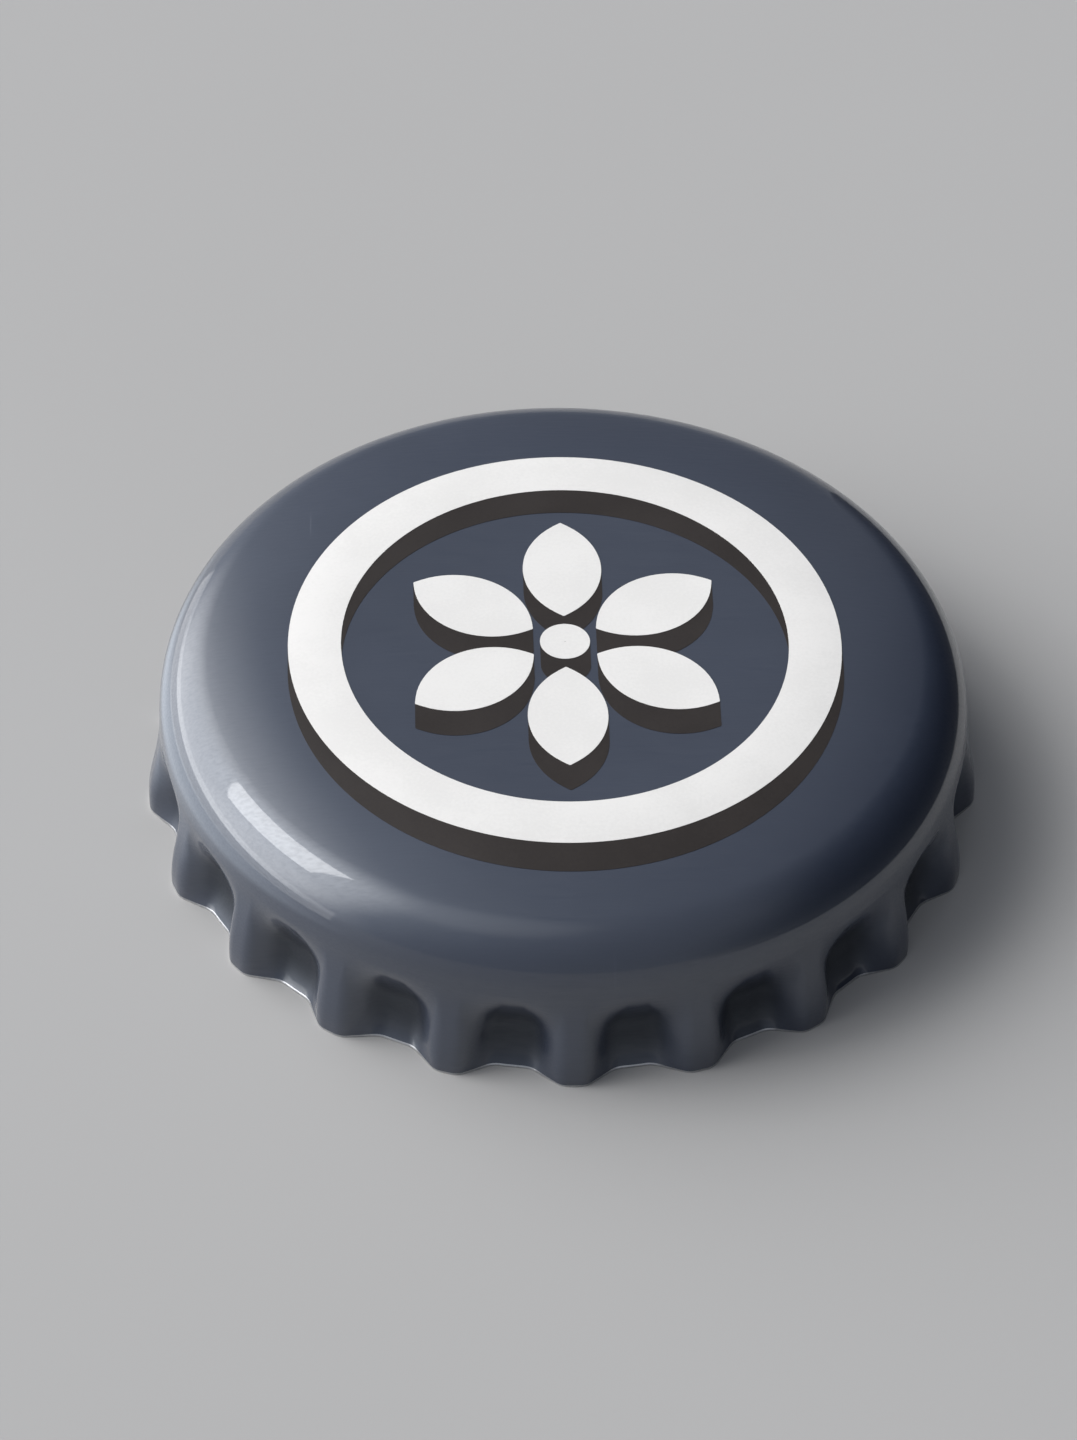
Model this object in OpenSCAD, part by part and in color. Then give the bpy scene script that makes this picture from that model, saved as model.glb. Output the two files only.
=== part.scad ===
// Crown cap for a 26 mm bottle finish, in its crimped, closed size.
// One drawn steel shell with fluted skirt, and a moulded sealing liner bonded under its panel.
// +Z is up, the origin is the centre of the rim plane, and one flute crest faces -Y.

/* [Shell] */
// Height from the rim to the top of the panel
cap_h = 6.55; // [6.2:0.05:7.5]
// Thickness of the steel sheet
sheet_t = 0.24; // [0.18:0.01:0.28]
// Outer diameter where the rounded shoulder turns into the skirt
shoulder_d = 27.7; // [27.2:0.02:28]
// Outer radius of the rounded shoulder
shoulder_r = 2.2; // [1.8:0.1:2.8]
// Diameter of the flat middle of the panel
flat_d = 15.2; // [10:0.2:17]
// Slope that the panel has reached where it meets the shoulder, in degrees
fall_angle = 13; // [8:1:18]
// Height of the plain collar between the shoulder and the flutes
collar_h = 0.15; // [0.1:0.05:0.4]

/* [Flutes] */
// Number of flutes around the skirt
flutes = 21; // [19:1:23]
// Outer diameter over the flute crests
crest_d = 28.7; // [28.5:0.05:28.9]
// Outer diameter over the floors of the valleys, where they grip the neck
valley_d = 26.34; // [26.1:0.02:26.6]
// Width of the flat top of a crest
crest_w = 0.36; // [0.2:0.02:0.5]
// Width of the sloping flank with its two bends, between the flat crest and the flat valley floor
flank_w = 1.48; // [1.46:0.02:1.6]
// Bend radius along the crests, at the middle of the sheet
bend_r = 0.5; // [0.4:0.02:0.54]
// Bend radius along the valley floors, at the middle of the sheet
floor_r = 0.9; // [0.7:0.02:0.94]
// Height over which the crests swell out from the collar
crest_run = 3.4; // [2.4:0.1:3.6]
// Height over which the valley floors sink in from the collar
valley_run = 2.1; // [1.8:0.1:2.3]
// Height over which each valley opens from its arched top to its full width
arch_run = 1.6; // [1.2:0.1:2]
// Share of the flat floor that the arch closes at the top of a valley
arch_close = 0.5; // [0.3:0.05:0.85]
// Height of the lip at the foot of each valley
lip_h = 1.3; // [0.8:0.05:1.35]
// How far the foot of each valley flares back out at the rim
lip_flare = 0.45; // [0.2:0.01:0.5]
// Depth to which the neck presses the inside of the valley floors to a true cylinder
coin_t = 0.03; // [0.02:0.005:0.05]

/* [Liner] */
// Outer diameter of the sealing liner
liner_d = 24.6; // [23:0.2:25]
// Thickness of the flat web inside the sealing bead, at its middle
web_t = 0.4; // [0.3:0.02:0.6]
// Width of the sealing bead
bead_w = 2.4; // [2:0.1:3]
// Height of the sealing bead below the panel
bead_h = 1.2; // [1:0.05:1.4]
// Clearance between the liner and the curved outer part of the panel
liner_gap = 0.03; // [0.02:0.01:0.06]

/* [Hidden] */

// Cut overshoot, so that no two cut faces lie in one plane
over = 1;
// Depth to which the skirt is lapped into the collar, and how far its faces lie inside the sheet there
lap_h = 0.05;
lap_inset = 0.01;
// Facets: steps around a whole turn of the revolved parts and around their small circles
turn_fn = 294;
arc_fn = 96;
// Steps down the arched part of a flute, and down its lip
arch_steps = 4;
lip_steps = 3;
// Steps round a crest bend and round the wider bend of a valley floor
crest_steps = 2;
floor_steps = 3;

shoulder_end = shoulder_d / 2;
flat_r = flat_d / 2;
half_t = sheet_t / 2;

// The panel falls away along an arc that starts level at the flat and ends tangent to the shoulder arc.
fall_r = (shoulder_end - flat_r - shoulder_r) / sin(fall_angle) + shoulder_r;
shoulder_x = shoulder_end - shoulder_r;
shoulder_z = cap_h - fall_r + (fall_r - shoulder_r) * cos(fall_angle);
join_z = shoulder_z - collar_h;

// Radii at the middle of the sheet
collar_mid = shoulder_end - half_t;
crest_mid = crest_d / 2 - half_t;
valley_mid = valley_d / 2 - half_t;
pitch_r = (crest_mid + valley_mid) / 2;
half_pitch = PI * pitch_r / flutes;

floor_half = half_pitch - crest_w / 2 - flank_w;

// The neck lands: the stretch where the dished valley floors come within coin_t of their deepest
grip_r = valley_d / 2 - sheet_t + coin_t;
grip_top = join_z - valley_run * (1 - sqrt(coin_t / 3 / (collar_mid - valley_mid)));
grip_foot = lip_h * (1 - sqrt(coin_t / lip_flare));

// Seat of the liner on the flat of the panel
seat_z = cap_h - sheet_t;
seat_r = flat_r - liner_gap;
liner_r = liner_d / 2;

// Smooth step from 0 to 1
function ease(t) = let (u = min(1, max(0, t))) u * u * (3 - 2 * u);

// Radius of the crests and of the valley floors at height z, at the middle of the sheet
function crest_at(z) = collar_mid + (crest_mid - collar_mid) * ease((join_z - z) / crest_run);
function valley_at(z) =
    collar_mid
    - (collar_mid - valley_mid) * ease((join_z - z) / valley_run)
    + lip_flare * pow(max(0, 1 - z / lip_h), 2);

// Distance from the middle of a crest to its edge at height z: the arch pushes it out near the top
function crest_edge(z) = crest_w / 2 + floor_half * arch_close * (1 - ease((join_z - z) / arch_run));

// Angle of the straight flank that joins the two bends of a flute of the given depth
function flank_angle(depth) =
    let (bends = bend_r + floor_r, rise = depth - bends)
    asin(bends / norm([flank_w, rise])) + atan2(rise, flank_w);

// Half a flute at height z, as [distance along the pitch circle, radius], from crest to valley.
// The skin lies off from the middle of the sheet, so both bends keep their centres.
function half_flute(z, off) =
    let (
        crest = crest_at(z),
        valley = valley_at(z),
        angle = flank_angle(crest - valley),
        crest_x = crest_edge(z),
        floor_x = crest_x + flank_w,
        outer_r = bend_r + off,
        inner_r = floor_r - off
    )
    [
        for (i = [0:crest_steps])
            let (a = angle * i / crest_steps)
            [crest_x + outer_r * sin(a), crest - bend_r + outer_r * cos(a)],
        for (i = [floor_steps:-1:0])
            let (a = angle * i / floor_steps)
            [floor_x - inner_r * sin(a), valley + floor_r - inner_r * cos(a)]
    ];

// A whole flute: the half, then its mirror image
function flute(z, off) =
    let (half = half_flute(z, off), last = len(half) - 1)
    concat(half, [for (i = [last:-1:0]) [2 * half_pitch - half[i].x, half[i].y]]);

// One ring of points around the skirt
function ring(z, off) =
    let (one = flute(z, off))
    [
        for (k = [0:flutes - 1], p = one)
            let (a = (p.x / half_pitch / 2 + k) * 360 / flutes - 90)
            [p.y * cos(a), p.y * sin(a), z]
    ];

// Heights of the rings below the collar: arched tops, neck land, lip
function ring_heights() = [
    for (i = [1:arch_steps]) join_z - valley_run * i / arch_steps,
    for (i = [0:lip_steps]) lip_h * (1 - i / lip_steps)
];

// Rings of one skin of the skirt, with the lap inside the collar first
function skin(side) = [
    each ring(join_z + lap_h, side * (half_t - lap_inset)),
    each ring(join_z, side * (half_t - lap_inset)),
    for (z = ring_heights()) each ring(z, side * half_t)
];

// Region below the outside of the panel and shoulder, drawn in by off, down to the height foot
module crown_outline(off, foot) {
    tip = 1.2 * fall_r;
    fall_tip = [flat_r + tip * sin(fall_angle), cap_h - fall_r + tip * cos(fall_angle)];
    translate([0, foot])
        square([flat_r, cap_h - off - foot]);
    intersection() {
        translate([flat_r, cap_h - fall_r])
            circle(r = fall_r - off, $fn = 8 * arc_fn);
        polygon([[flat_r, foot], [flat_r, cap_h], fall_tip, [shoulder_x, shoulder_z], [shoulder_x, foot]]);
    }
    intersection() {
        translate([shoulder_x, shoulder_z])
            circle(r = shoulder_r - off, $fn = arc_fn);
        translate([flat_r, foot])
            square([shoulder_end, cap_h]);
    }
    translate([flat_r, foot])
        square([shoulder_end - off - flat_r, shoulder_z - foot]);
}

// Panel, shoulder and collar: one revolved sheet
module crown() {
    rotate_extrude($fn = turn_fn)
        difference() {
            crown_outline(0, join_z);
            crown_outline(sheet_t, join_z - over);
        }
}

// The crimped skirt, both skins of the sheet, the cut rim and the lap
module fluted_skirt() {
    count = len(ring(0, 0));
    rows = len(ring_heights()) + 2;
    outside = skin(1);
    inside = skin(-1);
    shift = count * rows;
    last = (rows - 1) * count;
    polyhedron(
        points = concat(outside, inside),
        faces = [
            for (r = [0:rows - 2], c = [0:count - 1])
                let (a = r * count + c, b = r * count + (c + 1) % count)
                each [[a, b, b + count, a + count],
                      [shift + b, shift + a, shift + a + count, shift + b + count]],
            for (c = [0:count - 1])
                let (d = (c + 1) % count)
                each [[d, c, shift + c, shift + d],
                      [last + c, last + d, shift + last + d, shift + last + c]]
        ]
    );
}

module cap_shell() {
    color("#424858")
        difference() {
            union() {
                crown();
                fluted_skirt();
            }
            translate([0, 0, grip_foot])
                cylinder(r = grip_r, h = grip_top - grip_foot, $fn = turn_fn);
        }
}

// Section of the liner: bonded seat, flat-moulded web and rounded bead, clear of the curved part of the panel
module liner_section() {
    bead_x = liner_r - bead_w / 2;
    bead_z = seat_z - bead_h;
    translate([0, seat_z - web_t])
        square([seat_r, web_t]);
    intersection() {
        crown_outline(sheet_t + liner_gap, bead_z);
        union() {
            translate([0, seat_z - web_t])
                square([liner_r, web_t]);
            translate([bead_x, bead_z + bead_w / 2])
                circle(d = bead_w, $fn = arc_fn);
            translate([bead_x - bead_w / 2, bead_z + bead_w / 2])
                square([bead_w, bead_h]);
        }
    }
}

module sealing_liner() {
    color("#e4e1d8")
        rotate_extrude($fn = turn_fn)
            liner_section();
}

cap_shell();
sealing_liner();
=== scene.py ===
# %% [markdown]
# # A crimped crown cap
#
# This lesson dresses a small pressed-steel bottle closure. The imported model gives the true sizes
# and places. Here we make what a camera sees: the satin lacquer, the printed motif, the bright cut
# rim, the bare tin inside and the soft sealing liner. Everything is in metres, in the frame of the
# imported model: +Z is up, the rim stands on z = 0 and one flute crest faces -Y.

import math
import random

import bpy
import numpy as np
from mathutils import Matrix, Vector


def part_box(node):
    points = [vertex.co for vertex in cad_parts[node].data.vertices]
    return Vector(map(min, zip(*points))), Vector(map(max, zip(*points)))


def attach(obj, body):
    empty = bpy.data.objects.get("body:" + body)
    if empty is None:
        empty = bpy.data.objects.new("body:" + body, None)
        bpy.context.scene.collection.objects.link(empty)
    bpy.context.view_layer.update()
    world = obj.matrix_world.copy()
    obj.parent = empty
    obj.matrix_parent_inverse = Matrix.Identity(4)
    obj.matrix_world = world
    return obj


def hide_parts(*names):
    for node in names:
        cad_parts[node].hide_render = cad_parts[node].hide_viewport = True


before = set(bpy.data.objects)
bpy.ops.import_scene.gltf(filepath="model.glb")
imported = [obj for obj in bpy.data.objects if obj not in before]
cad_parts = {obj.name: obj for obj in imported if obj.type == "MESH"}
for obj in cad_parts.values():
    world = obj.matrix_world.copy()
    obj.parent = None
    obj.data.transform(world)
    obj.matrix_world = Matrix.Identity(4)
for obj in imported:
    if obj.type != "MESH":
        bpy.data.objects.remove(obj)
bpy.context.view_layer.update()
shell_low, shell_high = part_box("cap_shell")
liner_low, liner_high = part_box("sealing_liner")

# %% [markdown]
# ## Sizes
#
# The height, the diameter over the crests and the liner come from the frame. The rest are the
# sizes that a toolmaker would read off the drawing of the cap, given in millimetres and turned
# into metres once. Writing them by name keeps every later step readable.

# %% Sizes of the shell, in metres
MM = 0.001
cap_h = shell_high[2]
crest_r = -shell_low[1]
sheet_t = 0.24 * MM
shoulder_end = 13.85 * MM
shoulder_r = 2.2 * MM
flat_r = 7.6 * MM
fall_angle = math.radians(13)
collar_h = 0.15 * MM
ink_t = 0.02 * MM

fall_r = (shoulder_end - flat_r - shoulder_r) / math.sin(fall_angle) + shoulder_r
shoulder_x = shoulder_end - shoulder_r
shoulder_z = cap_h - fall_r + (fall_r - shoulder_r) * math.cos(fall_angle)
join_z = shoulder_z - collar_h
print("flutes start at", round(join_z / MM, 3), "mm")

# %% Sizes of the flutes
flutes = 21
valley_r = 13.17 * MM
crest_w = 0.36 * MM
flank_w = 1.48 * MM
bend_r = 0.5 * MM
floor_r = 0.9 * MM
crest_run = 3.4 * MM
valley_run = 2.1 * MM
arch_run = 1.6 * MM
arch_close = 0.5
lip_h = 1.3 * MM
lip_flare = 0.45 * MM
collar_mid = shoulder_end - sheet_t / 2
crest_mid = crest_r - sheet_t / 2
valley_mid = valley_r - sheet_t / 2
half_pitch = math.pi * (crest_mid + valley_mid) / 2 / flutes
floor_half = half_pitch - crest_w / 2 - flank_w
print("pitch of the flutes", round(2 * half_pitch / MM, 3), "mm")

# %% [markdown]
# ## The shape of a crimped flute
#
# A crown cap starts as a flat disc. A press draws the skirt into flutes, and the crimping tool
# then pushes the valleys against the neck of the bottle. So each flute is a smooth ridge made of
# four parts: a crest, a bend, a straight flank and a bend into the valley. Written as functions,
# the same shape can be asked for at any height and on either side of the sheet.


# %% The wave of the skirt
def ease(t):
    t = min(1.0, max(0.0, t))
    return t * t * (3 - 2 * t)


def crest_at(z):
    return collar_mid + (crest_mid - collar_mid) * ease((join_z - z) / crest_run)


def valley_at(z):
    lip = lip_flare * max(0.0, 1 - z / lip_h) ** 2
    return collar_mid - (collar_mid - valley_mid) * ease((join_z - z) / valley_run) + lip


def flank_angle(depth):
    rise = depth - bend_r - floor_r
    return math.asin((bend_r + floor_r) / math.hypot(flank_w, rise)) + math.atan2(rise, flank_w)


def half_flute(z, off, steps, crest_in=0.0, valley_out=0.0):
    """From crest to valley, at height z and off from the middle of the sheet. Gives distances
    along the pitch circle, and radii. Each bend has as many points as steps says."""
    crest, valley = crest_at(z) - crest_in, valley_at(z) + valley_out
    crest_x = crest_w / 2 + floor_half * arch_close * (1 - ease((join_z - z) / arch_run))
    valley_x = crest_x + flank_w
    turns = np.linspace(0, flank_angle(crest - valley), steps)
    over_r = bend_r + off
    over_x, over = crest_x + over_r * np.sin(turns), crest - bend_r + over_r * np.cos(turns)
    under_r = floor_r - off
    under_x, under = valley_x - under_r * np.sin(turns), valley + floor_r - under_r * np.cos(turns)
    flank = [(over_x[-1] + under_x[-1]) / 2], [(over[-1] + under[-1]) / 2]
    last_x = [(valley_x + half_pitch) / 2, half_pitch]
    x = np.concatenate([[0, crest_x / 2], over_x, flank[0], under_x[::-1], last_x])
    radius = np.concatenate([[crest + off] * 2, over, flank[1], under[::-1], [valley + off] * 2])
    return x, radius


print("flank at the rim leans by", round(math.degrees(flank_angle(crest_at(0) - valley_at(0)))), "degrees")


# %% [markdown]
# No press is perfect, so every crest and valley wanders a little from its neighbours. The crests
# wander inwards only, so the cap never grows past its true size. The draws are seeded: the same
# cap comes out each time.
#
# A ring keeps its points at the corners of the wave, except close to the collar: there they
# spread out evenly, to meet the plain rings of the shoulder.

# %% One ring of the skirt as angles and radii
# Valleys drift sideways by this share of half a pitch
drift = 0.05
wander = 0.045 * MM
even_run = 0.9 * MM
points_per_bend = 6
points_per_trace = 40
draw = random.Random(7)
crest_wander = [0.0] + [wander * draw.random() for _ in range(flutes - 1)]
valley_wander = [wander * (2 * draw.random() - 1) for _ in range(flutes)]
valley_drift = [drift * (2 * draw.random() - 1) for _ in range(flutes)]


def skirt_ring(z, off):
    """Angles and radii of one ring, a crest at -Y first. The wander grows towards the rim."""
    grown = ease((join_z - z) / crest_run)
    settled = ease((join_z - z) / even_run)
    angles = []
    radii = []
    for k in range(flutes):
        for crest, side in ((k, 1), (k + 1, -1)):
            wanders = grown * crest_wander[crest % flutes], grown * valley_wander[k]
            corners, _ = half_flute(z, off, points_per_bend, *wanders)
            even = np.linspace(0, half_pitch, len(corners))
            x = even + (corners - even) * settled
            r = np.interp(x, *half_flute(z, off, points_per_trace, *wanders))
            turn = crest + side * x * (1 + side * grown * valley_drift[k]) / (2 * half_pitch)
            order = slice(None, -1) if side > 0 else slice(None, 0, -1)
            angles.append(turn[order] * 2 * math.pi / flutes - math.pi / 2)
            radii.append(r[order])
    return np.concatenate(angles), np.concatenate(radii)


COLUMNS = len(skirt_ring(0, 0)[0])
print("columns around the skirt", COLUMNS)

# %% [markdown]
# ## The panel and the shoulder
#
# Above the flutes the sheet is a surface of revolution: a flat middle, a long gentle fall and a
# tight round shoulder. Each arc is tangent to the next, so light runs over them without a break.


# %% Section of the crown, from the centre outwards
# Radius of the innermost ring, as a share of the flat
middle_share = 0.08


def fall_point(off, turn):
    """On the long arc of the panel, drawn in by off and turned from the vertical."""
    r = fall_r - off
    return flat_r + r * math.sin(turn), cap_h - fall_r + r * math.cos(turn)


def shoulder_point(off, turn):
    r = shoulder_r - off
    return shoulder_x + r * math.sin(turn), shoulder_z + r * math.cos(turn)


def crown_section(off, flat_steps, fall_steps, shoulder_steps):
    """Radii and heights from the middle of the panel to the foot of the shoulder."""
    shares = [middle_share + (1 - middle_share) * i / flat_steps for i in range(flat_steps)]
    section = [(flat_r * share, cap_h - off) for share in shares]
    section += [fall_point(off, fall_angle * i / fall_steps) for i in range(fall_steps)]
    for i in range(shoulder_steps + 1):
        turn = fall_angle + (math.pi / 2 - fall_angle) * i / shoulder_steps
        section.append(shoulder_point(off, turn))
    return section


def panel_height(radius):
    """Height of the outside of the panel at a distance from the axis."""
    if radius <= flat_r:
        return cap_h
    if radius <= flat_r + fall_r * math.sin(fall_angle):
        return cap_h - fall_r + math.sqrt(fall_r**2 - (radius - flat_r) ** 2)
    return shoulder_z + math.sqrt(max(0.0, shoulder_r**2 - (radius - shoulder_x) ** 2))


print("edge of the fall at", round((flat_r + fall_r * math.sin(fall_angle)) / MM, 2), "mm")

# %% [markdown]
# ## The shell as one mesh
#
# The sheet is built as a tube of rings: down the outside, round the cut rim and up the inside.
# All rings share the same columns, so the faces are plain quads, apart from the two small fans
# that close the middle of each side. Three material slots tell the lacquered outside, the sheared
# edge and the bare inside apart.


# %% Rings to mesh
def rings_to_mesh(name, rings, slots):
    """Joins rings of points into one closed skin. slots gives each band's material slot."""
    count = len(rings[0])
    verts = [tuple(p) for ring in rings for p in ring]
    faces = []
    marks = []
    for r in range(len(rings) - 1):
        for c in range(count):
            d = (c + 1) % count
            faces.append((r * count + c, (r + 1) * count + c, (r + 1) * count + d, r * count + d))
            marks.append(slots[r])
    for end, order in ((0, -1), (len(rings) - 1, 1)):
        centre = np.mean(rings[end], axis=0)
        verts.append(tuple(centre))
        for c in range(count):
            d = (c + 1) % count
            a, b = end * count + c, end * count + d
            faces.append((len(verts) - 1, a, b) if order < 0 else (len(verts) - 1, b, a))
            marks.append(slots[0 if end == 0 else -1])
    mesh = bpy.data.meshes.new(name)
    mesh.from_pydata(verts, [], faces)
    mesh.polygons.foreach_set("material_index", marks)
    mesh.polygons.foreach_set("use_smooth", [True] * len(faces))
    mesh.update()
    piece = bpy.data.objects.new(name, mesh)
    bpy.context.scene.collection.objects.link(piece)
    return piece


# %% Build the fine shell
OUTSIDE, EDGE, INSIDE = 0, 1, 2
edge_round = 0.045 * MM
edge_corner = 0.3 * edge_round
bare_edge = 0.09 * MM
outside_steps = 34
inside_steps = 18
half_t = sheet_t / 2
collar_angles, _ = skirt_ring(join_z, 0)


def ring_points(angles, radii, z):
    return np.stack([radii * np.cos(angles), radii * np.sin(angles), np.full(COLUMNS, z)], 1)


def circle_ring(radius, z):
    return ring_points(collar_angles, radius, z)


def flute_ring(z, off):
    return ring_points(*skirt_ring(z, off), z)


def build_shell():
    rings = []
    slots = []

    def add(ring, slot):
        rings.append(ring)
        slots.append(slot)

    for r, z in crown_section(ink_t, flat_steps=3, fall_steps=12, shoulder_steps=18):
        add(circle_ring(r, z), OUTSIDE)
    for i in range(outside_steps):
        add(flute_ring(bare_edge + (join_z - bare_edge) * (1 - i / outside_steps), half_t), OUTSIDE)
    add(flute_ring(bare_edge, half_t), EDGE)
    add(flute_ring(edge_round, half_t), EDGE)
    add(flute_ring(edge_corner, half_t - edge_corner), EDGE)
    add(flute_ring(0, half_t - edge_round), EDGE)
    add(flute_ring(0, edge_round - half_t), EDGE)
    add(flute_ring(edge_round, -half_t), INSIDE)
    for i in reversed(range(inside_steps)):
        add(flute_ring(join_z * (1 - i / inside_steps), -half_t), INSIDE)
    for r, z in reversed(crown_section(sheet_t, flat_steps=2, fall_steps=5, shoulder_steps=10)):
        add(circle_ring(r, z), INSIDE)
    return rings_to_mesh("painted_shell", rings, slots[:-1])


shell = build_shell()
print("shell faces", len(shell.data.polygons))

# %% [markdown]
# ## The sealing liner
#
# The liner is a soft disc moulded into the panel, with a round bead near its edge that is squeezed
# on the mouth of the bottle. It is turned from one section. Its seat touches the flat of the
# panel, and a hair of clearance keeps the rest of it off the curved part.

# %% Build the liner
liner_r = 12.3 * MM
liner_top = liner_high[2]
bead_foot = liner_low[2]
web_t = 0.4 * MM
bead_w = 2.4 * MM
liner_gap = 0.03 * MM
liner_columns = 192
# Spacing of the rings on the web, as a share of the radius of the bead's middle
web_step = 0.155
bead_turn = math.radians(5)


def polar(radius, angle):
    return radius * math.cos(angle), radius * math.sin(angle)


def whole_turn(count):
    """Angles of count points, evenly round a circle."""
    return [2 * math.pi * c / count for c in range(count)]


def bead_points(start):
    """Round the foot of the bead from the angle start, as far as the underside of the shoulder."""
    bead_r = bead_w / 2
    points = []
    turn = start
    while True:
        across, up = polar(bead_r, turn)
        x, z = liner_r - bead_r + across, bead_foot + bead_r + up
        limit = shoulder_r - sheet_t - liner_gap
        if x > shoulder_x and math.hypot(x - shoulder_x, z - shoulder_z) > limit:
            return points
        points.append((x, z))
        turn += bead_turn


def liner_section():
    """From the middle of the web out round the bead, and back under the panel."""
    inset = sheet_t + liner_gap
    bead_r = bead_w / 2
    web_z = liner_top - web_t
    section = [((liner_r - bead_r) * web_step * i, web_z) for i in range(1, 6)]
    section += bead_points(math.pi + math.asin((bead_foot + bead_r - web_z) / bead_r))
    edge_share = (section[-1][0] - shoulder_x) / (shoulder_r - inset)
    edge_turn = math.asin(min(1.0, edge_share))
    for share in (1 / 3, 2 / 3, 1):
        section.append(shoulder_point(inset, edge_turn + (fall_angle - edge_turn) * share))
    section += [fall_point(inset, fall_angle * (1 - i / 8)) for i in range(1, 9)]
    return section + [(r, liner_top) for r in (flat_r - liner_gap, flat_r * 0.5, flat_r * 0.1)]


def build_liner():
    turns = whole_turn(liner_columns)
    rings = [np.array([(*polar(r, a), z) for a in turns]) for r, z in reversed(liner_section())]
    return rings_to_mesh("moulded_liner", rings, [0] * (len(rings) - 1))


liner = build_liner()
print("liner faces", len(liner.data.polygons))

# %% [markdown]
# ## The printed motif
#
# The panel carries a bold white print with a dark drop shade below it, the way a sign painter
# lifts a letter off a wall. The design is a plain six-petal rosette inside a ring. Each field of
# ink is a thin skin laid on the panel, so its edge stays crisp from every distance. The shade is
# what each white field would sweep over if it slid straight down by a small distance.

# %% Sizes of the print
ring_outer = 9.4 * MM
ring_inner = 7.6 * MM
petal_reach = 5.9 * MM
petal_foot = 1.25 * MM
petal_half_w = 1.35 * MM
tip_half_w = 0.02 * MM
petals = 6
hub_r = 0.85 * MM
shade_drop = 1.15 * MM
tuck = 0.25 * MM
white_level = 0.0
shade_level = -ink_t / 2
ring_columns = 180
hub_columns = 48
petal_steps = 28
shade_columns = 120
shade_steps = 5
print("print is", round(2 * ring_outer / MM, 1), "mm across")


# %% Lay a grid of points on the panel as a thin skin
def lay_ink(name, grid, level, closed=False):
    """grid is rows of (x, y), closed if each row runs right round. The skin follows the panel,
    with its top at level above it."""
    rows, cols = len(grid), len(grid[0])
    verts = []
    for depth in (0.0, ink_t / 2):
        for row in grid:
            for x, y in row:
                verts.append((x, y, panel_height(math.hypot(x, y)) + level - depth))
    top = rows * cols
    faces = []
    spans = cols if closed else cols - 1
    for r in range(rows - 1):
        for c in range(spans):
            d = (c + 1) % cols
            quad = (r * cols + c, r * cols + d, (r + 1) * cols + d, (r + 1) * cols + c)
            faces.append(quad)
            faces.append(tuple(top + v for v in reversed(quad)))
    last = top - cols
    border = [(c, (c + 1) % cols) for c in range(spans)]
    border += [(last + (c + 1) % cols, last + c) for c in range(spans)]
    if not closed:
        border += [((r + 1) * cols, r * cols) for r in range(rows - 1)]
        border += [(r * cols + cols - 1, (r + 1) * cols + cols - 1) for r in range(rows - 1)]
    faces += [(b, a, top + a, top + b) for a, b in border]
    mesh = bpy.data.meshes.new(name)
    mesh.from_pydata(verts, [], faces)
    mesh.update()
    piece = bpy.data.objects.new(name, mesh)
    bpy.context.scene.collection.objects.link(piece)
    return piece


print("ink is", round(ink_t / MM, 3), "mm deep with its shade")


# %% White fields: the ring, the petals and the hub
def round_field(name, radii, columns):
    grid = [[polar(r, a) for a in whole_turn(columns)] for r in radii]
    return lay_ink(name, grid, white_level, closed=True)


def white_ring():
    radii = [ring_outer + (ring_inner - ring_outer) * i / 6 for i in range(7)]
    return round_field("print_ring", radii, ring_columns)


def white_hub():
    return round_field("print_hub", [hub_r, hub_r * 0.5, hub_r * 0.02], hub_columns)


def petal_width(t):
    """Half width of a pointed petal, t from 0 at its foot to 1 at its tip."""
    length = petal_reach - petal_foot
    arc_r = (length**2 / 4 + petal_half_w**2) / (2 * petal_half_w)
    return math.sqrt(arc_r**2 - (length * (t - 0.5)) ** 2) - (arc_r - petal_half_w)


def petal_point(t, side, turn):
    along = petal_foot + (petal_reach - petal_foot) * t
    across = side * max(petal_width(t), tip_half_w)
    x, y = polar(1, turn)
    return along * x - across * y, along * y + across * x


def petal_line(k, side):
    """A line from the foot to the tip of petal k: its middle, or one of its two edges."""
    turn = 2 * math.pi * k / petals + math.pi / 2
    return [petal_point(i / petal_steps, side, turn) for i in range(petal_steps + 1)]


def white_petal(k):
    grid = [petal_line(k, side) for side in (-1, 0, 1)]
    return lay_ink(f"print_petal_{k + 1}", grid, white_level)


whites = [white_ring(), white_hub()] + [white_petal(k) for k in range(petals)]
print("white fields", [piece.name for piece in whites])


# %% Drop shade of the ring: two swept crescents
def crescent(name, radius, tucked, first, last):
    """Sweeps an arc of the ring downwards. The first row is tucked under the white."""
    turns = [first + (last - first) * c / shade_columns for c in range(shade_columns + 1)]
    arc = [polar(radius, a) for a in turns]
    grid = [[polar(tucked, a) for a in turns]]
    for i in range(shade_steps + 1):
        grid.append([(x, y - shade_drop * i / shade_steps) for x, y in arc])
    if tucked < radius:
        grid.reverse()
    return lay_ink(name, grid, shade_level)


ring_shades = [
    crescent("shade_outer", ring_outer, ring_outer - tuck, math.pi, 2 * math.pi),
    crescent("shade_inner", ring_inner, ring_inner + tuck, 0.0, math.pi),
]
print("shades of the ring", [piece.name for piece in ring_shades])


# %% Drop shade of a convex field: the hull of the field and its lowered copy
def hull(points):
    """The convex outline of points, anticlockwise."""
    points = sorted(set(points))
    chains = []
    for run in (points, points[::-1]):
        chain = []
        for p in run:
            while len(chain) > 1:
                (ax, ay), (bx, by) = chain[-2], chain[-1]
                if (bx - ax) * (p[1] - ay) - (by - ay) * (p[0] - ax) > 0:
                    break
                chain.pop()
            chain.append(p)
        chains.append(chain[:-1])
    return chains[0] + chains[1]


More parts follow.
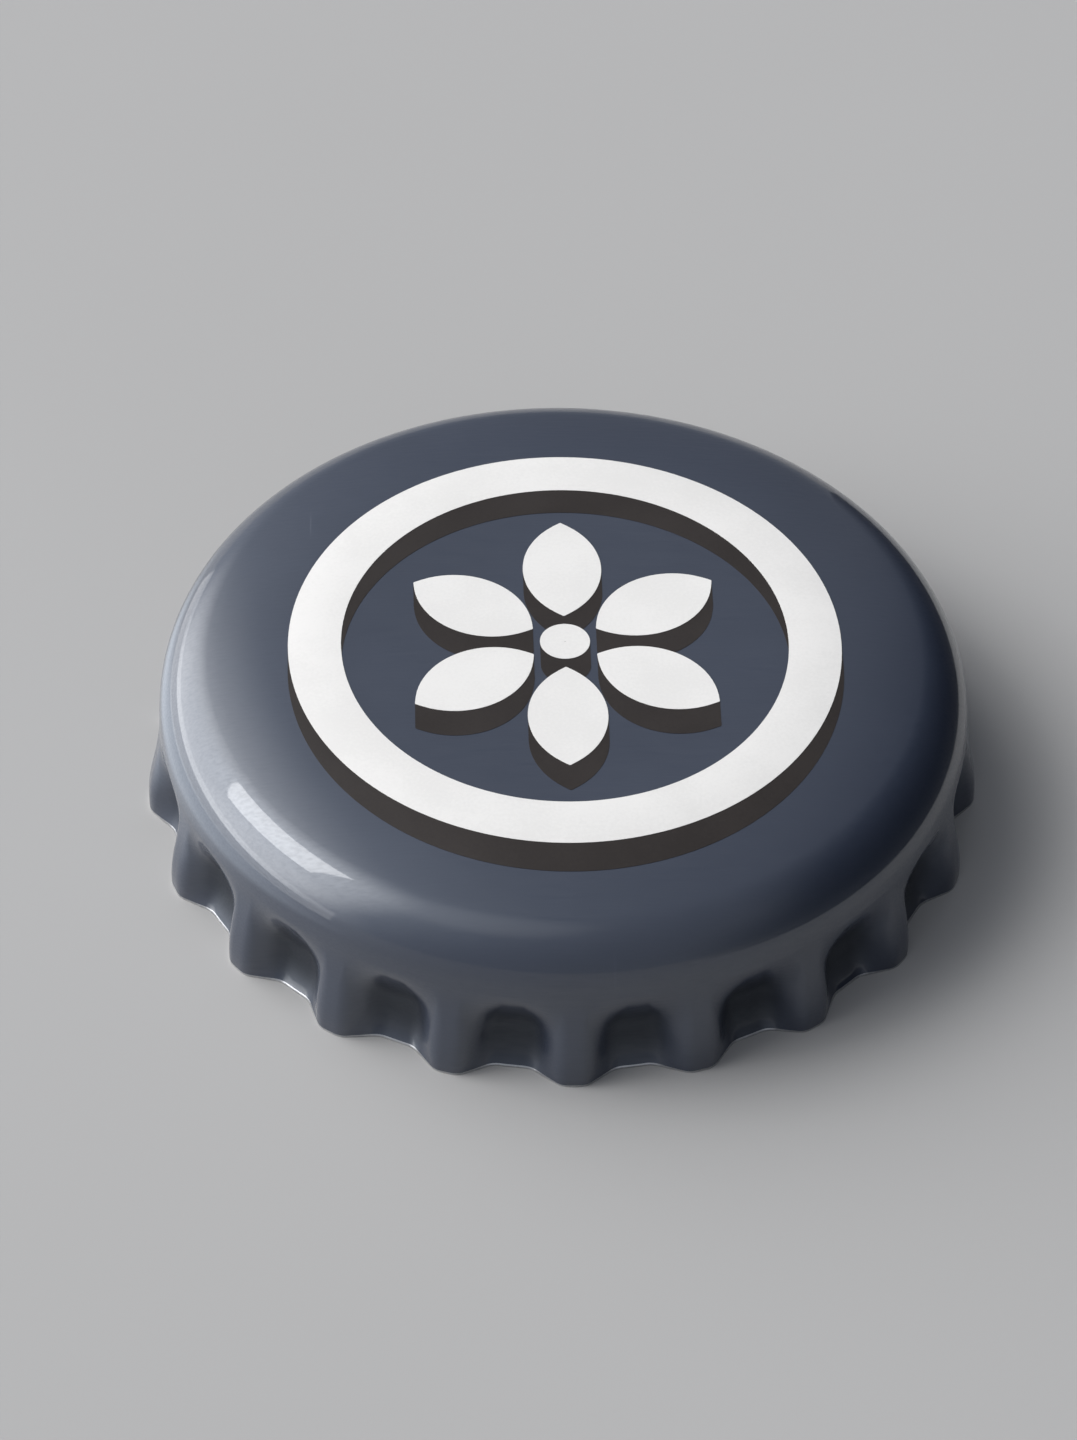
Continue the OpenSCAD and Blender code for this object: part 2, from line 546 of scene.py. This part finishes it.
def drop_shade(name, outline):
    lowered = [(x, y - shade_drop) for x, y in outline]
    edge = hull(outline + lowered)
    cx = sum(x for x, _ in edge) / len(edge)
    cy = sum(y for _, y in edge) / len(edge)
    grid = [[(cx + (x - cx) * s, cy + (y - cy) * s) for x, y in edge] for s in (1.0, 0.5, 0.02)]
    return lay_ink(name, grid, shade_level, closed=True)


hub_outline = [polar(hub_r, a) for a in whole_turn(hub_columns)]
shades = ring_shades + [drop_shade("shade_hub", hub_outline)]
for k in range(petals):
    shades.append(drop_shade(f"shade_petal_{k + 1}", petal_line(k, 1) + petal_line(k, -1)))
print("shade fields", [piece.name for piece in shades])

# %% [markdown]
# ## Writing materials as sums
#
# A material is a graph of nodes, which is hard to read as a list of links. So a small class wraps
# one socket and lets it be added, multiplied and compared like a number, and another makes any
# node from its type, its settings and the values of its sockets.


# %% The wire and the graph
class Wire:
    """One output socket. Sums and products with it add Math nodes."""

    def __init__(self, graph, socket):
        self.graph = graph
        self.socket = socket

    def math(self, operation, *inputs):
        return self.graph.add("ShaderNodeMath", {"operation": operation}, dict(enumerate(inputs)))

    def __add__(self, other):
        return self.math("ADD", self, other)

    __radd__ = __add__

    def __mul__(self, other):
        return self.math("MULTIPLY", self, other)

    __rmul__ = __mul__

    def __sub__(self, other):
        return self.math("SUBTRACT", self, other)

    def __rsub__(self, other):
        return self.math("SUBTRACT", other, self)

    def __pow__(self, other):
        return self.math("POWER", self, other)

    def larger(self, other):
        return self.math("MAXIMUM", self, other)

    def step(self, low, high):
        """Rises smoothly from 0 at low to 1 at high."""
        settings = {"interpolation_type": "SMOOTHSTEP"}
        return self.graph.add("ShaderNodeMapRange", settings, {0: self, 1: low, 2: high, 3: 0.0, 4: 1.0})


class Graph:
    """A material's or a world's node tree."""

    def __init__(self, tree):
        self.tree = tree
        tree.nodes.clear()

    def add(self, kind, settings=None, inputs=None, out=0):
        """Makes a node of a kind, first its settings and then the values or links of its sockets."""
        made = self.tree.nodes.new(kind)
        for key, value in (settings or {}).items():
            setattr(made, key, value)
        for key, value in (inputs or {}).items():
            if isinstance(value, Wire):
                self.tree.links.new(value.socket, made.inputs[key])
            else:
                made.inputs[key].default_value = value
        return Wire(self, made.outputs[out]) if len(made.outputs) else made

    def mix(self, factor, first, second):
        """Blends two colours."""
        settings = {"data_type": "RGBA"}
        return self.add("ShaderNodeMix", settings, {0: factor, 6: first, 7: second}, out=2)

    def place(self):
        """Position on the piece in metres, in the cap's own frame."""
        return self.add("ShaderNodeTexCoord", out=3)

    def axes(self, vector):
        """The x, y and z of a vector."""
        return [self.add("ShaderNodeSeparateXYZ", None, {0: vector}, out=i) for i in range(3)]

    def stretch(self, vector, scale, turn=(0.0, 0.0, 0.0)):
        settings = {"vector_type": "POINT"}
        return self.add("ShaderNodeMapping", settings, {0: vector, 2: turn, 3: scale})

    def noise(self, vector, scale, detail=2.0, roughness=0.5):
        return self.add("ShaderNodeTexNoise", None, {0: vector, 2: scale, 3: detail, 4: roughness})

    def bump(self, height, strength, distance):
        return self.add("ShaderNodeBump", None, {0: strength, 1: distance, "Height": height})


def colour(red, green, blue):
    """A colour written in display values from 0 to 255, as a linear one: the sRGB formula."""
    shares = [value / 255 for value in (red, green, blue)]
    linear = [v / 12.92 if v <= 0.04045 else ((v + 0.055) / 1.055) ** 2.4 for v in shares]
    return (*linear, 1.0)


def new_material(name):
    material = bpy.data.materials.new(name)
    material.use_nodes = True
    return material, Graph(material.node_tree)


def close_material(graph, **sockets):
    """Adds the shader and the output. The keys are the shader's socket names, spaces as _."""
    inputs = {key.replace("_", " "): value for key, value in sockets.items()}
    shader = graph.add("ShaderNodeBsdfPrincipled", None, inputs)
    graph.add("ShaderNodeOutputMaterial", None, {0: shader})


print("helpers ready")

# %% [markdown]
# ## Satin lacquer
#
# The outside is roller-coated with a slate blue enamel under a clear varnish, then stoved. Close
# up it has a faint orange peel, a very slight cloudiness in its colour and a few hairline marks
# from the chute of the capping machine, which gather towards the left. All of it is noise that is
# worked out from the place on the cap, so it needs no picture and no unwrapping. The varnish is
# the shader's coat: it gives the sharp streak over the softer sheen of the enamel.


# %% Make the lacquer
def scratch_marks(graph, place, turn, size):
    """Sparse hairlines in one direction: long thin cells of noise, cut to their peaks."""
    lines = graph.noise(graph.stretch(place, (size, size * 0.03, size * 0.03), turn), 1.0, 1.0)
    patches = graph.noise(graph.stretch(place, (300.0, 300.0, 300.0), turn), 1.0, 1.0)
    return lines.step(0.74, 0.80) * patches.step(0.55, 0.70)


def valley_dull_and_shade_mask(graph, place):
    """1 on the floors of the valleys. There the varnish is thinner and duller, and the colour is darkened
    as painted shade of the hollows.
    """
    x, y, z = graph.axes(place)
    radius = (x * x + y * y) ** 0.5
    depth = 1.0 - radius.step(valley_r - 0.05 * MM, valley_r + 0.65 * MM)
    return depth * (1.0 - z.step(join_z - 1.1 * MM, join_z - 0.5 * MM))


def make_lacquer():
    material, graph = new_material("slate_lacquer")
    place = graph.place()
    cloud = graph.noise(place, 160.0, 3.0)
    peel = graph.noise(place, 2600.0, 2.0)
    grain = graph.noise(graph.stretch(place, (900.0, 12000.0, 12000.0)), 1.0, 2.0)
    marks = scratch_marks(graph, place, (0.0, 0.0, 0.6), 5200.0)
    marks = marks.larger(scratch_marks(graph, place, (0.0, 0.0, -0.9), 4300.0))
    x, _, _ = graph.axes(place)
    marks = marks * ((x * -1.0).step(3.0 * MM, 8.0 * MM) * 0.8 + 0.2)
    base = graph.mix(cloud.step(0.35, 0.65), colour(30, 37, 54), colour(33, 40, 57))
    # Painted shade: the valley floors are darkened towards near black, standing in for dark reflections in
    # the hollows. The same mask thins and dulls the varnish there.
    valley_dull_and_shade = valley_dull_and_shade_mask(graph, place)
    base = graph.mix(valley_dull_and_shade * 0.8, base, colour(8, 10, 15))
    worn = graph.mix(marks * 0.25, base, colour(120, 126, 138))
    rough = 0.48 + (grain - 0.5) * 0.3 + (cloud - 0.5) * 0.05 + marks * 0.1
    height = peel * 0.3 + grain * 0.9 - marks * 0.5
    close_material(
        graph,
        Base_Color=worn,
        Roughness=rough,
        IOR=1.7,
        Specular_Tint=(0.82, 0.90, 1.0, 1.0),
        Coat_Weight=0.97 - valley_dull_and_shade * 0.87 - grain.step(0.35, 0.75) * 0.1,
        Coat_Roughness=0.05,
        Coat_IOR=1.6,
        Normal=graph.bump(height, 0.5, 0.006 * MM),
    )
    return material


lacquer = make_lacquer()
print("made", lacquer.name)

# %% [markdown]
# ## Bare metal: the sheared rim and the tin inside
#
# The blanking punch leaves a narrow bright edge that the lacquer never covers. The inside is tin
# with a clear protective varnish: softer and greyer, with the long grain of the rolling mill.


# %% Make the two metals
def make_cut_edge():
    material, graph = new_material("sheared_steel")
    place = graph.place()
    shear = graph.noise(graph.stretch(place, (9000.0, 9000.0, 900.0)), 1.0, 2.0)
    close_material(
        graph,
        Base_Color=graph.mix(shear, colour(176, 178, 182), colour(214, 215, 217)),
        Metallic=1.0,
        Roughness=0.26 + shear * 0.16,
        Normal=graph.bump(shear, 0.3, 0.006 * MM),
    )
    return material


def make_tin():
    material, graph = new_material("varnished_tin")
    place = graph.place()
    rolling = graph.noise(graph.stretch(place, (500.0, 16000.0, 500.0)), 1.0, 3.0)
    spangle = graph.noise(place, 700.0, 2.0)
    tone = rolling * 0.6 + spangle * 0.4
    close_material(
        graph,
        Base_Color=graph.mix(tone.step(0.3, 0.7), colour(168, 167, 162), colour(194, 192, 186)),
        Metallic=1.0,
        Roughness=0.34 + rolling * 0.14,
        Coat_Weight=0.3,
        Coat_Roughness=0.12,
        Normal=graph.bump(rolling, 0.25, 0.003 * MM),
    )
    return material


cut_edge = make_cut_edge()
tin = make_tin()
print("made", cut_edge.name, tin.name)

# %% [markdown]
# ## Liner compound and inks
#
# The liner is an off-white moulded compound, a little waxy, with faint rings from the turned
# punch that pressed it. The inks are opaque enamels: they are flatter than the lacquer and show
# the fine tooth of the printing blanket.


# %% Make the liner compound and the inks
# One ring of the turned punch about every 0.24 mm
radians_per_metre = 26000.0


def make_compound():
    material, graph = new_material("sealing_compound")
    place = graph.place()
    x, y, _ = graph.axes(place)
    ripple = (x * x + y * y) ** 0.5 * radians_per_metre
    rings = ripple.math("SINE", ripple) * 0.5 + 0.5
    cloud = graph.noise(place, 500.0, 3.0)
    close_material(
        graph,
        Base_Color=graph.mix(cloud.step(0.3, 0.7), colour(222, 218, 207), colour(231, 228, 219)),
        Roughness=0.42 + cloud * 0.12,
        Coat_Weight=0.15,
        Coat_Roughness=0.2,
        Normal=graph.bump(rings * 0.4 + cloud * 0.6, 0.25, 0.01 * MM),
    )
    return material


def make_ink(name, dark, light, roughness):
    material, graph = new_material(name)
    place = graph.place()
    tooth = graph.noise(place, 9000.0, 2.0)
    wash = graph.noise(place, 420.0, 2.0)
    close_material(
        graph,
        Base_Color=graph.mix((wash * 0.6 + tooth * 0.4).step(0.35, 0.65), dark, light),
        Roughness=roughness + (tooth - 0.5) * 0.12,
        Specular_IOR_Level=0.3,
        Normal=graph.bump(tooth, 0.2, 0.002 * MM),
    )
    return material


compound = make_compound()
white_ink = make_ink("white_ink", colour(218, 216, 213), colour(224, 222, 219), 0.5)
shade_ink = make_ink("shade_ink", colour(39, 34, 32), colour(45, 40, 38), 0.52)
print("made", compound.name, white_ink.name, shade_ink.name)


# %% Give every piece its finish and its place in the frame
def dress(piece, materials, replaced=None):
    for material in materials:
        piece.data.materials.append(material)
    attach(piece, "root")
    if replaced:
        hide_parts(replaced)


dress(shell, [lacquer, cut_edge, tin], "cap_shell")
dress(liner, [compound], "sealing_liner")
for piece in whites:
    dress(piece, [white_ink])
for piece in shades:
    dress(piece, [shade_ink])
print("dressed", 2 + len(whites) + len(shades), "pieces")

# %% [markdown]
# ## The camera
#
# A long lens looks down on the cap at about 44 degrees from close by, so the far rim is a
# little smaller than the near one. The camera first looks at the middle of the panel, then turns
# by two small angles so that the cap sits low enough for empty floor above it.

# %% Place the camera
elevation = math.radians(44.0)
azimuth = math.radians(-2.65)
roll = math.radians(1.4)
distance = 181.8 * MM
turn_left = math.radians(0.2835)
turn_up = math.radians(0.843)
target = Vector((0, 0, cap_h))

level = Vector((math.sin(azimuth), -math.cos(azimuth), 0))
back = math.cos(elevation) * level + math.sin(elevation) * Vector((0, 0, 1))
right = Vector((math.cos(azimuth), math.sin(azimuth), 0))
up = back.cross(right)
right, up = math.cos(roll) * right + math.sin(roll) * up, math.cos(roll) * up - math.sin(roll) * right
forward = (-back - right * math.tan(turn_left) - up * math.tan(turn_up)).normalized()
right = (right - right.dot(forward) * forward).normalized()
up = right.cross(forward)

lens = bpy.data.cameras.new("camera")
lens.sensor_fit = "VERTICAL"
lens.sensor_height = 36.0
lens.lens = 133.9
lens.clip_start = 10 * MM
camera = bpy.data.objects.new("camera", lens)
facing = Matrix((right, up, -forward)).transposed().to_4x4()
camera.matrix_world = Matrix.Translation(target + back * distance) @ facing
bpy.context.scene.collection.objects.link(camera)
bpy.context.scene.camera = camera
print("camera at", [round(v / MM) for v in camera.matrix_world.translation], "mm")

# %% [markdown]
# ## Floor, lights and world
#
# A plain pale grey floor fills the picture. A square soft box high at the left draws the crisp
# streak on the shoulder. A low strip lamp at the left, and a glowing card on the floor in front
# of it, carry the glow down to the foot of the shoulder. A black card stands at the right, so
# that the right shoulder ends in a dark line. The strip and both cards are seen in reflections
# only, because varnish shows its surroundings, and the floor has to stay plain. The sky does the
# rest: a broad silk at the left for the soft gradient with a low glow under it, a small veil
# overhead, a dark flag at the right, and a little dusk behind the cap that keeps the far side of
# the panel as dark as its middle.


# %% Floor
floor_half_side = 1.5


def staged_sheet(name, corners, material):
    """One flat sheet that belongs to the studio and not to the cap."""
    mesh = bpy.data.meshes.new(name)
    mesh.from_pydata(corners, [], [(0, 1, 2, 3)])
    mesh.materials.append(material)
    sheet = bpy.data.objects.new(name, mesh)
    bpy.context.scene.collection.objects.link(sheet)
    return sheet


def make_floor():
    material, graph = new_material("studio_floor")
    place = graph.place()
    mottle = graph.noise(place, 30.0, 2.0)
    close_material(
        graph,
        Base_Color=graph.mix(mottle, colour(168, 167, 166), colour(171, 170, 169)),
        Roughness=0.9,
        Specular_IOR_Level=0.1,
    )
    signs = ((-1, -1), (1, -1), (1, 1), (-1, 1))
    corners = [(x * floor_half_side, y * floor_half_side, 0) for x, y in signs]
    return staged_sheet("floor", corners, material)


floor = make_floor()
print("staged", floor.name, round(2 * floor_half_side, 1), "m wide")


# %% A black card for the right shoulder
def show_in_reflections_only(sheet):
    sheet.visible_camera = False
    sheet.visible_diffuse = False
    sheet.visible_shadow = False


def make_black_card():
    """It stands on the floor at the right, and it thins out towards the front and the top, so
    that its reflection has no hard edge there."""
    side, front, rear, top = 26 * MM, -60 * MM, 55 * MM, 30 * MM
    solid_front, solid_top = -10 * MM, 6 * MM
    material, graph = new_material("black_card")
    _, y, z = graph.axes(graph.place())
    close_material(
        graph,
        Base_Color=colour(16, 18, 22),
        Roughness=1.0,
        Specular_IOR_Level=0.0,
        Alpha=y.step(front, solid_front) * (1.0 - z.step(solid_top, top)),
    )
    corners = [(side, front, 0), (side, front, top), (side, rear, top), (side, rear, 0)]
    card = staged_sheet("black_card", corners, material)
    show_in_reflections_only(card)
    return card


black_card = make_black_card()
print("staged", black_card.name)


# %% A glowing card for the foot of the left shoulder
def make_glow_card():
    """It lies on the floor at the left, and it fades on all four sides, so that its reflection
    has no hard edge."""
    near, far, front, rear, height = -15 * MM, -38 * MM, -22 * MM, 24 * MM, 0.1 * MM
    full_near, full_far, full_front, full_rear = -19 * MM, -28 * MM, -4 * MM, 8 * MM
    material, graph = new_material("glow_card")
    x, y, _ = graph.axes(graph.place())
    beside = (1.0 - x.step(full_near, near)) * x.step(far, full_far)
    along = y.step(front, full_front) * (1.0 - y.step(full_rear, rear))
    close_material(
        graph,
        Base_Color=colour(0, 0, 0),
        Roughness=1.0,
        Specular_IOR_Level=0.0,
        Emission_Color=(0.87, 0.93, 1.0, 1.0),
        Emission_Strength=1.6,
        Alpha=beside * along,
    )
    ends = (far, front), (near, front), (near, rear), (far, rear)
    card = staged_sheet("glow_card", [(*end, height) for end in ends], material)
    show_in_reflections_only(card)
    return card


glow_card = make_glow_card()
print("staged", glow_card.name)


# %% Lamps
def soft_lamp(name, azimuth_deg, elevation_deg, reach, width, length, radiance, lean_deg=0.0):
    """A rectangular lamp aimed at the cap. The face is radiance times as bright as a white card
    in plain light. Its length points up, or leans by lean_deg towards larger azimuths."""
    a, e, t = (math.radians(v) for v in (azimuth_deg, elevation_deg, lean_deg))
    outward = Vector((math.cos(e) * math.cos(a), math.cos(e) * math.sin(a), math.sin(e)))
    level = Vector((-math.sin(a), math.cos(a), 0))
    along = outward.cross(level) * math.cos(t) + level * math.sin(t)
    across = along.cross(outward)
    data = bpy.data.lights.new(name, "AREA")
    data.shape = "RECTANGLE"
    data.size = width
    data.size_y = length
    data.energy = radiance * math.pi * width * length
    lamp = bpy.data.objects.new(name, data)
    lamp.matrix_world = Matrix((across, along, outward)).transposed().to_4x4()
    lamp.location = outward * reach
    lamp.visible_camera = False
    bpy.context.scene.collection.objects.link(lamp)
    return lamp


soft_box = soft_lamp(
    "left_streak",
    azimuth_deg=170.3,
    elevation_deg=45.3,
    reach=0.5,
    width=0.23,
    length=0.217,
    radiance=5.0,
    lean_deg=-31,
)
strip = soft_lamp(
    "low_strip",
    azimuth_deg=174,
    elevation_deg=7.6,
    reach=0.030,
    width=0.058,
    length=0.008,
    radiance=1.15,
)
# Only reflections see the strip, so it draws no bright pool on the floor beside it
strip.visible_diffuse = False
print("lamps", soft_box.name, "and", strip.name)


# %% World: a soft glow from the left, dark on the right
def make_world():
    world = bpy.data.worlds.new("studio")
    bpy.context.scene.world = world
    world.use_nodes = True
    graph = Graph(world.node_tree)
    direction = graph.add("ShaderNodeTexCoord", out=0)

    def patch(towards, rim, core):
        """1 in the middle of a round patch of sky, falling softly to 0 at its rim. Core and rim
        are the cosines of their angles from its middle."""
        settings = {"operation": "DOT_PRODUCT"}
        facing = graph.add("ShaderNodeVectorMath", settings, {0: direction, 1: towards}, out=1)
        return facing.step(rim, core)

    silk = patch((-0.86, 0.26, 0.44), rim=0.64, core=0.88)
    low = patch((-0.98, -0.15, 0.13), rim=0.84, core=0.97)
    veil = patch((-0.25, -0.20, 0.95), rim=0.92, core=1.0)
    flag = patch((0.90, 0.30, 0.32), rim=0.61, core=0.88)
    dusk = patch((0.0, 0.95, 0.31), rim=0.92, core=1.0)
    plain, dark = (0.30, 0.32, 0.36, 1.0), (0.035, 0.04, 0.05, 1.0)
    ambient = graph.mix(flag.larger(dusk * 0.45), plain, dark)
    glow = silk * 3.3 + low * 0.9 + veil * 0.4
    sky = graph.add("ShaderNodeVectorMath", {"operation": "ADD"}, {0: ambient, 1: glow})
    background = graph.add("ShaderNodeBackground", None, {0: sky, 1: 1.0})
    graph.add("ShaderNodeOutputWorld", None, {0: background})
    return world


world = make_world()
bpy.context.scene.view_settings.view_transform = "Standard"
print("world", world.name)
